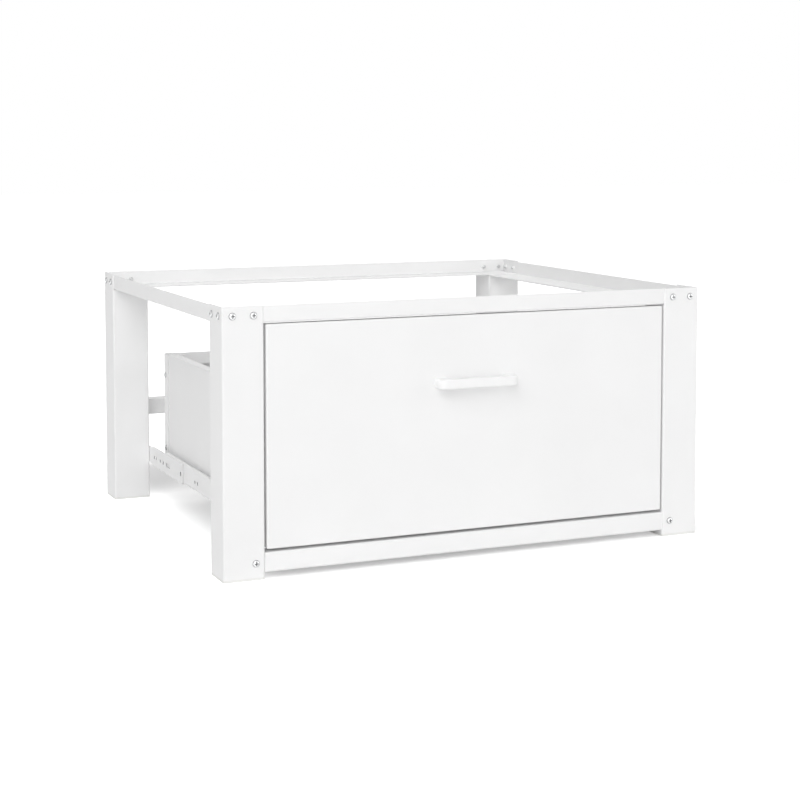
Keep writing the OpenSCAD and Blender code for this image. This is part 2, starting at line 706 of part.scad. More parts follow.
// Bottom: a sheet that lies on the lips of the sides and the back
module drawer_bottom() color(white) in_row() {
    wide = box_x - box_t - seat;
    front = box_front_y + box_t + seat;
    rear = box_rear_y - box_t - seat;
    translate([-wide, front, box_z + box_t]) cube([2 * wide, rear - front, box_t]);
}

leg_front_left();
leg_front_right();
leg_rear_left();
leg_rear_right();
foot_cap_front_left();
foot_cap_front_right();
foot_cap_rear_left();
foot_cap_rear_right();
top_rail_front();
top_rail_rear();
top_rail_left();
top_rail_right();
lower_front_rail();
rear_crossbar();
frame_screws();
tab_screws();
cabinet_member_left();
cabinet_member_right();
slide_bracket_left();
slide_bracket_right();
slide_stop_left();
slide_stop_right();
slide_screws();
ball_cage_left();
ball_cage_right();
balls_left();
balls_right();
drawer_member_left();
drawer_member_right();
drawer_member_screws();
drawer_front();
front_liner();
drawer_side_left();
drawer_side_right();
drawer_back();
drawer_bottom();
box_front_screws();
box_back_screws();
handle();
handle_screws();
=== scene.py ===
"""Looks of the washing machine pedestal: studio, camera, finishes and the detailed pieces."""
from __future__ import annotations

import logging
import math
from abc import ABC, abstractmethod
from dataclasses import dataclass, replace
from enum import Enum, IntEnum
from typing import Iterable, Sequence

import bmesh
import bpy
from mathutils import Matrix, Vector

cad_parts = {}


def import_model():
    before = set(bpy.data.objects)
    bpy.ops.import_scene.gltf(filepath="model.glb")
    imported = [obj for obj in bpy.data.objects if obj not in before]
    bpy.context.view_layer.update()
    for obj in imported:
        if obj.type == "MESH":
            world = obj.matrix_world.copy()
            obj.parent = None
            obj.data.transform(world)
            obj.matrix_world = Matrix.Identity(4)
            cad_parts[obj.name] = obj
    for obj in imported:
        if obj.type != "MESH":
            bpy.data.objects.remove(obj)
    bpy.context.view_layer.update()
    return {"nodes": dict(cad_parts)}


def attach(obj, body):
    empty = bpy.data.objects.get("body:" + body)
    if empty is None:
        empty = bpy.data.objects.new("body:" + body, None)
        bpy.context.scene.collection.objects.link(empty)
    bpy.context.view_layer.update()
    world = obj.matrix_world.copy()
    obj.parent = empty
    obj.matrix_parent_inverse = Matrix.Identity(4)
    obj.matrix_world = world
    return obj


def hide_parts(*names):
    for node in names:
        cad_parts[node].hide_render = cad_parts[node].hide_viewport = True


LOG = logging.getLogger("pedestal")
MM = 0.001
NodeInput = bpy.types.NodeSocket | float | Sequence[float]


def srgb(code: str) -> tuple[float, float, float, float]:
    """Turns a hex colour into linear red, green, blue and alpha.

    Args:
        code: An sRGB colour such as "#f2f2f0".

    Returns:
        The linear colour with alpha 1.
    """
    parts = [int(code[i:i + 2], 16) / 255 for i in (1, 3, 5)]
    linear = [c / 12.92 if c <= 0.04045 else ((c + 0.055) / 1.055) ** 2.4 for c in parts]
    return (linear[0], linear[1], linear[2], 1.0)


def add_node(tree: bpy.types.NodeTree, kind: str, settings: dict[str, object] | None = None,
             inputs: dict[str | int, NodeInput] | None = None) -> bpy.types.Node:
    """Adds a node with its settings and links.

    Args:
        tree: The node tree of a material or the world.
        kind: The node's type, such as "ShaderNodeTexNoise".
        settings: Properties of the node.
        inputs: A value or an output socket for each input, by name or number.

    Returns:
        The new node.
    """
    node = tree.nodes.new(kind)
    for name, value in (settings or {}).items():
        setattr(node, name, value)
    for key, value in (inputs or {}).items():
        if isinstance(value, bpy.types.NodeSocket):
            tree.links.new(value, node.inputs[key])
        else:
            node.inputs[key].default_value = value
    return node


# ---------- Finishes ----------


ROLLED_ALONG_Y = (1.0, 0.03, 1.0)   # draws a pattern out along the way that a strip was rolled


@dataclass(frozen=True, kw_only=True)
class Finish(ABC):
    """A surface finish that several pieces share.

    Attributes:
        name: The material's name.
        colour: The finish's own colour, as sRGB hex.
        tints: The darkest and the lightest colour of its pattern.
        roughness: Its middle roughness.
        ior: Its index of refraction.
    """

    name: str
    colour: str
    tints: tuple[str, str]
    roughness: float
    ior: float = 1.5

    @abstractmethod
    def dress(self, tree: bpy.types.NodeTree, shader: bpy.types.Node) -> None:
        """Adds the finish's patterns in front of the shader.

        Args:
            tree: The material's node tree.
            shader: The Principled BSDF.
        """

    def material(self) -> bpy.types.Material:
        """Makes the material.

        Returns:
            The new material, or the one of that name that was made before.
        """
        found = bpy.data.materials.get(self.name)
        if found:
            return found
        material = bpy.data.materials.new(self.name)
        material.use_nodes = True
        material.diffuse_color = srgb(self.colour)
        tree = material.node_tree
        shader = tree.nodes["Principled BSDF"]
        shader.inputs["Base Color"].default_value = srgb(self.colour)
        shader.inputs["Roughness"].default_value = self.roughness
        shader.inputs["IOR"].default_value = self.ior
        self.dress(tree, shader)
        return material


@dataclass(frozen=True, kw_only=True)
class PowderCoat(Finish):
    """Polyester powder sprayed on folded sheet steel and baked: semi-gloss with orange peel."""

    name: str = "polyester_powder_coat"
    colour: str = "#f4f4f4"
    tints: tuple[str, str] = ("#f1f1f1", "#f7f7f7")
    roughness: float = 0.5
    ior: float = 1.45
    shine: tuple[float, float] = (0.45, 0.55)   # a thick film flows out smoother than a thin one
    film_mm: float = 90.0       # the film's thickness drifts over the reach of a spray gun
    peel_mm: float = 2.6        # real orange peel is 1 to 3 mm from crest to crest
    peel_depth_mm: float = 0.05
    rounding_mm: float = 0.35   # the film rounds a cut edge

    def dress(self, tree: bpy.types.NodeTree, shader: bpy.types.Node) -> None:
        """Adds orange peel, a slow drift of the film and round cut edges.

        Args:
            tree: The material's node tree.
            shader: The Principled BSDF.
        """
        place = add_node(tree, "ShaderNodeTexCoord").outputs["Object"]
        film = add_node(tree, "ShaderNodeTexNoise", None, {
            "Vector": place, "Scale": 1 / (self.film_mm * MM), "Detail": 2.0})
        tint = add_node(tree, "ShaderNodeMix", {"data_type": "RGBA"}, {
            0: film.outputs["Fac"], 6: srgb(self.tints[0]), 7: srgb(self.tints[1])})
        tree.links.new(tint.outputs[2], shader.inputs["Base Color"])
        gloss = add_node(tree, "ShaderNodeMapRange", None, {
            "Value": film.outputs["Fac"], "To Min": self.shine[0], "To Max": self.shine[1]})
        tree.links.new(gloss.outputs["Result"], shader.inputs["Roughness"])
        peel = add_node(tree, "ShaderNodeTexNoise", None, {
            "Vector": place, "Scale": 1 / (self.peel_mm * MM), "Detail": 1.5,
            "Roughness": 0.45})
        edge = add_node(tree, "ShaderNodeBevel", {"samples": 4}, {
            "Radius": self.rounding_mm * MM})
        bump = add_node(tree, "ShaderNodeBump", None, {
            "Height": peel.outputs["Fac"], "Strength": 0.22,
            "Distance": self.peel_depth_mm * MM, "Normal": edge.outputs["Normal"]})
        tree.links.new(bump.outputs["Normal"], shader.inputs["Normal"])


@dataclass(frozen=True)
class DarkBand:
    """A box of the frame painted darker, as painted shade in holes or as a darker cut edge; sizes
    in millimetres, mirrored in X.

    Attributes:
        across: The least and the greatest distance from the middle plane.
        along: The least and the greatest place in depth.
        up: The least and the greatest height.
        colour: The colour there.
    """

    across: tuple[float, float]
    along: tuple[float, float]
    up: tuple[float, float]
    colour: str


@dataclass(frozen=True, kw_only=True)
class BandedPowderCoat(PowderCoat):
    """Powder coat with darker bands over given boxes: painted shade in holes, and darker cut
    edges.
    """

    name: str = "powder_coat_with_dark_bands"
    bands: tuple[DarkBand, ...] = ()

    def dress(self, tree: bpy.types.NodeTree, shader: bpy.types.Node) -> None:
        """Adds the coat, and the darker bands over it.

        Args:
            tree: The material's node tree.
            shader: The Principled BSDF.
        """
        super().dress(tree, shader)
        place = add_node(tree, "ShaderNodeTexCoord").outputs["Object"]
        parts = add_node(tree, "ShaderNodeSeparateXYZ", None, {0: place})
        from_middle = add_node(tree, "ShaderNodeMath", {"operation": "ABSOLUTE"}, {
            0: parts.outputs["X"]})
        colour = shader.inputs["Base Color"].links[0].from_socket
        # each band paints its box darker: painted shade in holes, or a darker cut edge
        for band in self.bands:
            inside: bpy.types.NodeSocket | float = 1.0
            for value, (low, high) in ((from_middle.outputs[0], band.across),
                                       (parts.outputs["Y"], band.along),
                                       (parts.outputs["Z"], band.up)):
                near = add_node(tree, "ShaderNodeMath", {"operation": "COMPARE"}, {
                    0: value, 1: 0.5 * (low + high) * MM, 2: 0.5 * (high - low) * MM})
                inside = add_node(tree, "ShaderNodeMath", {"operation": "MULTIPLY"}, {
                    0: inside, 1: near.outputs[0]}).outputs[0]
            colour = add_node(tree, "ShaderNodeMix", {"data_type": "RGBA"}, {
                0: inside, 6: colour, 7: srgb(band.colour)}).outputs[2]
        tree.links.new(colour, shader.inputs["Base Color"])


@dataclass(frozen=True, kw_only=True)
class RolledZincStrip(Finish):
    """Zinc plated cold-rolled strip: pale satin metal with fine lines along the strip."""

    name: str = "zinc_plated_cold_rolled_steel"
    colour: str = "#cfd1d2"
    tints: tuple[str, str] = ("#bdc0c2", "#e0e1e1")
    roughness: float = 0.38
    shine: tuple[float, float] = (0.28, 0.5)    # the clouds are duller than the clear zinc
    line_mm: float = 1.1        # real rolling lines are 0.1 mm; coarser here so that they show
    line_depth_mm: float = 0.03
    line_share: float = 0.45    # how far the colour follows the lines, and not the clouds
    cloud_mm: float = 22.0      # passivated zinc clouds over a few centimetres

    def dress(self, tree: bpy.types.NodeTree, shader: bpy.types.Node) -> None:
        """Adds rolling lines and a cloudy passivation.

        Args:
            tree: The material's node tree.
            shader: The Principled BSDF.
        """
        place = add_node(tree, "ShaderNodeTexCoord").outputs["Object"]
        drawn = add_node(tree, "ShaderNodeVectorMath", {"operation": "MULTIPLY"}, {
            0: place, 1: ROLLED_ALONG_Y})
        lines = add_node(tree, "ShaderNodeTexNoise", None, {
            "Vector": drawn.outputs[0], "Scale": 1 / (self.line_mm * MM), "Detail": 2.5})
        cloud = add_node(tree, "ShaderNodeTexNoise", None, {
            "Vector": place, "Scale": 1 / (self.cloud_mm * MM), "Detail": 3.0})
        mixed = add_node(tree, "ShaderNodeMix", {"data_type": "FLOAT"}, {
            0: self.line_share, 2: cloud.outputs["Fac"], 3: lines.outputs["Fac"]})
        tint = add_node(tree, "ShaderNodeMix", {"data_type": "RGBA"}, {
            0: mixed.outputs[0], 6: srgb(self.tints[0]), 7: srgb(self.tints[1])})
        tree.links.new(tint.outputs[2], shader.inputs["Base Color"])
        shader.inputs["Metallic"].default_value = 1.0
        gloss = add_node(tree, "ShaderNodeMapRange", None, {
            "Value": mixed.outputs[0], "To Min": self.shine[0], "To Max": self.shine[1]})
        tree.links.new(gloss.outputs["Result"], shader.inputs["Roughness"])
        bump = add_node(tree, "ShaderNodeBump", None, {
            "Height": lines.outputs["Fac"], "Strength": 0.12,
            "Distance": self.line_depth_mm * MM})
        tree.links.new(bump.outputs["Normal"], shader.inputs["Normal"])


@dataclass(frozen=True, kw_only=True)
class GrainedFinish(Finish):
    """A finish whose colour, relief and shine all follow one fine grain.

    Attributes:
        grain_mm: Distance from one crest of the grain to the next.
        octaves: How many times finer grain lies over it.
        stretch: What the grain is multiplied by along each axis, where it is drawn out.
        metallic: 1 for bare or plated metal.
        shine: The least and the greatest roughness, where the shine is uneven.
        relief: How strongly the grain stands out; 0 is smooth.
        depth_mm: Height of the grain's crests.
    """

    grain_mm: float
    octaves: float
    stretch: tuple[float, float, float] | None = None
    metallic: float = 0.0
    shine: tuple[float, float] | None = None
    relief: float = 0.0
    depth_mm: float = 0.0

    def dress(self, tree: bpy.types.NodeTree, shader: bpy.types.Node) -> None:
        """Adds the grain to the colour, the shine and the relief.

        Args:
            tree: The material's node tree.
            shader: The Principled BSDF.
        """
        place = add_node(tree, "ShaderNodeTexCoord").outputs["Object"]
        if self.stretch:
            place = add_node(tree, "ShaderNodeVectorMath", {"operation": "MULTIPLY"}, {
                0: place, 1: self.stretch}).outputs[0]
        grain = add_node(tree, "ShaderNodeTexNoise", None, {
            "Vector": place, "Scale": 1 / (self.grain_mm * MM), "Detail": self.octaves})
        tint = add_node(tree, "ShaderNodeMix", {"data_type": "RGBA"}, {
            0: grain.outputs["Fac"], 6: srgb(self.tints[0]), 7: srgb(self.tints[1])})
        tree.links.new(tint.outputs[2], shader.inputs["Base Color"])
        shader.inputs["Metallic"].default_value = self.metallic
        if self.shine:
            gloss = add_node(tree, "ShaderNodeMapRange", None, {
                "Value": grain.outputs["Fac"], "To Min": self.shine[0],
                "To Max": self.shine[1]})
            tree.links.new(gloss.outputs["Result"], shader.inputs["Roughness"])
        if self.relief:
            bump = add_node(tree, "ShaderNodeBump", None, {
                "Height": grain.outputs["Fac"], "Strength": self.relief,
                "Distance": self.depth_mm * MM})
            tree.links.new(bump.outputs["Normal"], shader.inputs["Normal"])


@dataclass(frozen=True, kw_only=True)
class HandleEnamel(GrainedFinish):
    """Wet enamel on a die-cast zinc handle: smoother and glossier than the sheet around it."""

    name: str = "enamelled_zinc_casting"
    colour: str = "#f5f5f5"
    tints: tuple[str, str] = ("#f4f4f4", "#f7f7f7")
    roughness: float = 0.4
    grain_mm: float = 9.0       # the wet film levels into long, shallow waves
    octaves: float = 1.0
    relief: float = 0.2
    depth_mm: float = 0.06


@dataclass(frozen=True, kw_only=True)
class MouldedPolyethylene(GrainedFinish):
    """Injection moulded white polyethylene: matt, from a spark-eroded mould."""

    name: str = "moulded_polyethylene"
    colour: str = "#ececea"
    tints: tuple[str, str] = ("#e6e6e3", "#f0f0ee")
    roughness: float = 0.55
    grain_mm: float = 0.8       # real spark erosion is 0.1 mm; coarser here so that it shows
    octaves: float = 2.0
    relief: float = 0.3
    depth_mm: float = 0.03


@dataclass(frozen=True, kw_only=True)
class BrightZincScrew(GrainedFinish):
    """Bright zinc plate on a cold-headed, rolled screw: a soft silver shine with fine pits."""

    name: str = "bright_zinc_plate"
    colour: str = "#d1d2d3"
    tints: tuple[str, str] = ("#c8c9ca", "#dddede")
    roughness: float = 0.3
    grain_mm: float = 0.7       # barrel plating leaves dints of a few tenths of a millimetre
    octaves: float = 3.0
    metallic: float = 1.0
    shine: tuple[float, float] | None = (0.2, 0.42)
    relief: float = 0.25
    depth_mm: float = 0.05


@dataclass(frozen=True, kw_only=True)
class ScrewRimPaintedShade(GrainedFinish):
    """The steep rim of a cold-headed screw, painted darker than the dome as painted shade: a dark
    ring that stands in for the shade round the edge of the head.
    """

    name: str = "screw_rim_painted_shade"
    # painted shade: this grey stands in for the dark crescent of shade round a screw head
    colour: str = "#9a9b9c"
    tints: tuple[str, str] = ("#8e8f90", "#a7a8a9")
    roughness: float = 0.38
    grain_mm: float = 0.5       # the flow lines of the upset metal, drawn coarser than 0.1 mm
    octaves: float = 2.0
    metallic: float = 1.0
    relief: float = 0.2
    depth_mm: float = 0.04


@dataclass(frozen=True, kw_only=True)
class RecessPaintedShade(GrainedFinish):
    """The bottom of a cross recess, painted dark grey as painted shade for the shade that falls in
    it.
    """

    name: str = "recess_painted_shade"
    # painted shade: this dark grey stands in for the shade inside the recess
    colour: str = "#7c7d7e"
    tints: tuple[str, str] = ("#6b6c6d", "#8d8e8f")
    roughness: float = 0.6
    grain_mm: float = 0.6       # the punch and the driver leave scuffs of half a millimetre
    octaves: float = 3.0
    metallic: float = 1.0
    relief: float = 0.3
    depth_mm: float = 0.05


@dataclass(frozen=True, kw_only=True)
class SpringSteel(GrainedFinish):
    """Thin hard-rolled spring steel, oiled: darker and warmer than zinc."""

    name: str = "spring_steel_strip"
    colour: str = "#a9a69c"
    tints: tuple[str, str] = ("#98958b", "#b9b6ac")
    roughness: float = 0.34
    grain_mm: float = 0.9       # rolling lines, drawn coarser than the real 0.1 mm
    octaves: float = 3.0
    stretch: tuple[float, float, float] | None = ROLLED_ALONG_Y
    metallic: float = 1.0
    relief: float = 0.15
    depth_mm: float = 0.03


@dataclass(frozen=True, kw_only=True)
class BearingSteel(GrainedFinish):
    """Ground and lapped bearing steel: a mirror shine under a smear of grease."""

    name: str = "lapped_bearing_steel"
    colour: str = "#d2d3d4"
    tints: tuple[str, str] = ("#c4c4c0", "#dddedf")
    roughness: float = 0.12
    grain_mm: float = 1.6       # grease lies in smears about half a ball wide
    octaves: float = 2.0
    metallic: float = 1.0
    shine: tuple[float, float] | None = (0.05, 0.26)


@dataclass(frozen=True, kw_only=True)
class MouldedRubber(GrainedFinish):
    """Moulded black nitrile rubber: matt, with a faint bloom."""

    name: str = "moulded_nitrile_rubber"
    colour: str = "#2b2b2d"
    tints: tuple[str, str] = ("#232325", "#38383a")
    roughness: float = 0.75
    grain_mm: float = 2.2       # bloom settles in patches of a couple of millimetres
    octaves: float = 4.0
    relief: float = 0.3
    depth_mm: float = 0.06


# ---------- Lofted pieces ----------


Ring = list[tuple[float, float, float]]


def add_ring(mesh: bmesh.types.BMesh, ring: Ring, place: Matrix) -> list[bmesh.types.BMVert]:
    """Adds one ring of points.

    Args:
        mesh: The mesh in the making.
        ring: The points in millimetres.
        place: Where the piece's own axes lie, in metres.

    Returns:
        The new vertices.
    """
    return [mesh.verts.new(place @ (Vector(point) * MM)) for point in ring]


def loft(mesh: bmesh.types.BMesh, rings: Sequence[Ring], place: Matrix,
         ends: tuple[bool, bool] = (True, True), slots: Sequence[int] = ()) -> None:
    """Stretches a skin over rings with equal numbers of points.

    Args:
        mesh: The mesh in the making.
        rings: The rings in order.
        place: Where the piece's own axes lie, in metres.
        ends: Whether the first and the last ring get a cap.
        slots: The material slot of each band between two rings, where it isn't the first.
    """
    rows = [add_ring(mesh, ring, place) for ring in rings]
    bands = list(slots) or [0] * (len(rows) - 1)
    for band, low, high in zip(bands, rows, rows[1:]):
        for i in range(len(low)):
            j = (i + 1) % len(low)
            mesh.faces.new((low[i], low[j], high[j], high[i])).material_index = band
    for row, capped, band in ((rows[0], ends[0], bands[0]), (rows[-1], ends[1], bands[-1])):
        if capped:
            mesh.faces.new(row).material_index = band


def finished_piece(mesh: bmesh.types.BMesh, name: str, finishes: Sequence[Finish],
                   crease: float) -> bpy.types.Object:
    """Turns a mesh in the making into a smooth, dressed object.

    Args:
        mesh: The mesh in the making, which is freed.
        name: The object's name.
        finishes: The finishes of its material slots.
        crease: Edges sharper than this angle in degrees stay sharp.

    Returns:
        The new object.
    """
    bmesh.ops.recalc_face_normals(mesh, faces=mesh.faces)
    data = bpy.data.meshes.new(name)
    mesh.to_mesh(data)
    mesh.free()
    for finish in finishes:
        data.materials.append(finish.material())
    data.shade_smooth()
    data.set_sharp_from_angle(angle=math.radians(crease))
    piece = bpy.data.objects.new(name, data)
    bpy.context.scene.collection.objects.link(piece)
    return piece


class HeadForm(Enum):
    """How a screw's head is shaped."""

    DOMED = "domed"
    SUNK = "sunk"


class ScrewSlot(IntEnum):
    """The material slots of a group of screws."""

    ZINC = 0
    # the recess and the rim get finishes painted dark as painted shade
    RECESS = 1
    RIM = 2


@dataclass(frozen=True, kw_only=True)
class CrossScrew:
    """A cold-headed screw with a cross recess and a rolled thread; sizes in millimetres.

    Attributes:
        thread: Outside diameter of the thread.
        head: Diameter of the head.
        rise: Height of the head above its seat.
        length: Length under the seat.
        pitch: Distance from one thread to the next.
        form: Shape of the head.
    """

    thread: float
    head: float
    rise: float
    length: float
    pitch: float
    form: HeadForm = HeadForm.DOMED

    ARM_LONG = 0.28         # half the length of a cross's arm, in head diameters
    ARM_HALF = 0.065        # half its width, in head diameters
    CORNER = 0.12           # angle from a corner of the cross to the next point, in radians
    DOME = 2.3              # power of the dome's curve, where 2 would be an ellipse
    SUNK_EDGE = 0.92        # height of a sunk head's sharp edge, in rises
    # rings from the head's edge in to the cross, in shares of the way
    HEAD_SHARES = (1.0, 0.985, 0.95, 0.88, 0.76, 0.6, 0.4, 0.2, 0.06, 0.0)
    # rings down the cross: shares of its arms' length and width, and the depth in rises
    CROSS_STEPS = ((0.94, 0.9, 0.2), (0.78, 0.72, 0.62), (0.62, 0.6, 0.7))
    # rings of the rim that get the rim's painted shade
    RIM_BANDS = {HeadForm.DOMED: 5, HeadForm.SUNK: 2}
    SHANK_POINTS = 20       # points round the shank
    TURN_RINGS = 6          # rings in each turn of the thread
    DEEPEST = 0.9           # a thread is at most half of this deep
    FLANK = 0.42            # half the width of a thread's foot, in pitches
    RUN_OUT = 0.8           # the thread fades over this much of the tip, in pitches
    TAPER = 0.25            # how much smaller the radius is at the tip

    def turns(self) -> list[float]:
        """Works out where the head's points lie, with one on each corner of the cross.

        Returns:
            The angles in radians.
        """
        tip = math.atan2(self.ARM_HALF, self.ARM_LONG)
        past = tip + self.CORNER
        steps = (0.0, 0.5 * tip, tip, past, 0.5 * (past + math.pi / 4), math.pi / 4)
        eighth = list(steps) + [math.pi / 2 - step for step in reversed(steps[1:-1])]
        return [quarter * math.pi / 2 + step for quarter in range(4) for step in eighth]

    def cross_reach(self, turn: float, long: float, half: float) -> float:
        """Works out how far the cross reaches from the middle.

        Args:
            turn: The direction, in radians.
            long: Half the length of an arm.
            half: Half the width of an arm.

        Returns:
            The distance from the middle to the cross's outline.
        """
        c, s = abs(math.cos(turn)) + 1e-9, abs(math.sin(turn)) + 1e-9
        return max(min(long / c, half / s), min(long / s, half / c))

    def skin_height(self, radius: float) -> float:
        """Works out how high the head stands.

        Args:
            radius: Distance from the middle.

        Returns:
            The height of the head's skin there.
        """
        if self.form is HeadForm.SUNK:
            return self.rise
        share = min(1.0, radius / (0.5 * self.head))
        return self.rise * math.sqrt(max(0.0, 1.0 - share ** self.DOME))

    def head_rings(self) -> list[Ring]:
        """Makes the head's outline, ring by ring.

        Returns:
            The rings from under the head, over its edge and down into the cross.
        """
        rim, long, half = 0.5 * self.head, self.ARM_LONG * self.head, self.ARM_HALF * self.head
        turns = self.turns()
        seat = 0.5 * self.thread
        rings: list[Ring] = [[(seat * math.cos(a), seat * math.sin(a), 0.0) for a in turns]]
        if self.form is HeadForm.SUNK:
            edge = self.SUNK_EDGE * self.rise
            rings.append([(rim * math.cos(a), rim * math.sin(a), edge) for a in turns])
        for share in self.HEAD_SHARES:
            ring: Ring = []
            for a in turns:
                inner = self.cross_reach(a, long, half)
                r = inner + (rim - inner) * share
                ring.append((r * math.cos(a), r * math.sin(a), self.skin_height(r)))
            rings.append(ring)
        brim = min(self.skin_height(long), self.skin_height(0.0))
        for shrink, slim, deep in self.CROSS_STEPS:
            ring = []
            for a in turns:
                r = self.cross_reach(a, long * shrink, half * slim)
                ring.append((r * math.cos(a), r * math.sin(a), brim - deep * self.rise))
            rings.append(ring)
        return rings

    def shank_rings(self) -> list[Ring]:
        """Makes the rolled thread, which winds down the shank.

        Returns:
            The rings from the seat to the tip.
        """
        crest_r = 0.5 * self.thread
        root = crest_r - 0.5 * min(self.pitch, self.DEEPEST)
        count = max(4, round(self.length / self.pitch * self.TURN_RINGS))
        rings: list[Ring] = []
        for k in range(count + 1):
            z = -self.length * k / count
            fade = min(1.0, (self.length + z) / (self.RUN_OUT * self.pitch))
            ring: Ring = []
            for i in range(self.SHANK_POINTS):
                a = 2 * math.pi * i / self.SHANK_POINTS
                phase = (z / self.pitch + i / self.SHANK_POINTS) % 1.0
                crest = max(0.0, 1.0 - abs(phase - 0.5) / self.FLANK)
                r = root + (crest_r - root) * crest * fade - self.TAPER * (1.0 - fade)
                ring.append((r * math.cos(a), r * math.sin(a), z))
            rings.append(ring)
        return rings

    def add_to(self, mesh: bmesh.types.BMesh, place: Matrix) -> None:
        """Adds the screw, its head along the place's own Z.

        Args:
            mesh: The mesh in the making.
            place: Where the seat's middle and the screw's axes lie.
        """
        head = self.head_rings()
        rim, recess = self.RIM_BANDS[self.form], len(self.CROSS_STEPS)
        skin = len(head) - 1 - recess - rim
        # the rim bands and the recess bands get the finishes painted dark as painted shade
        bands = [ScrewSlot.RIM] * rim + [ScrewSlot.ZINC] * skin + [ScrewSlot.RECESS] * recess
        loft(mesh, head, place, (False, True), bands)
        loft(mesh, self.shank_rings(), place, (False, True))


# ---------- Studio ----------


@dataclass
class Lamp:
    """One soft box.

    Attributes:
        name: What it does.
        place: Its middle, in metres.
        aim: The point that it faces.
        size: Width and height in metres.
        power: Its power in watts.
    """

    name: str
    place: tuple[float, float, float]
    aim: tuple[float, float, float]
    size: tuple[float, float]
    power: float

    def build(self) -> None:
        """Adds the lamp to the scene."""
        data = bpy.data.lights.new(self.name, "AREA")
        data.shape = "RECTANGLE"
        data.size, data.size_y = self.size
        data.energy = self.power
        lamp = bpy.data.objects.new(self.name, data)
        lamp.location = self.place
        turn = Vector(self.aim) - Vector(self.place)
        lamp.rotation_euler = turn.to_track_quat("-Z", "Y").to_euler()
        bpy.context.scene.collection.objects.link(lamp)


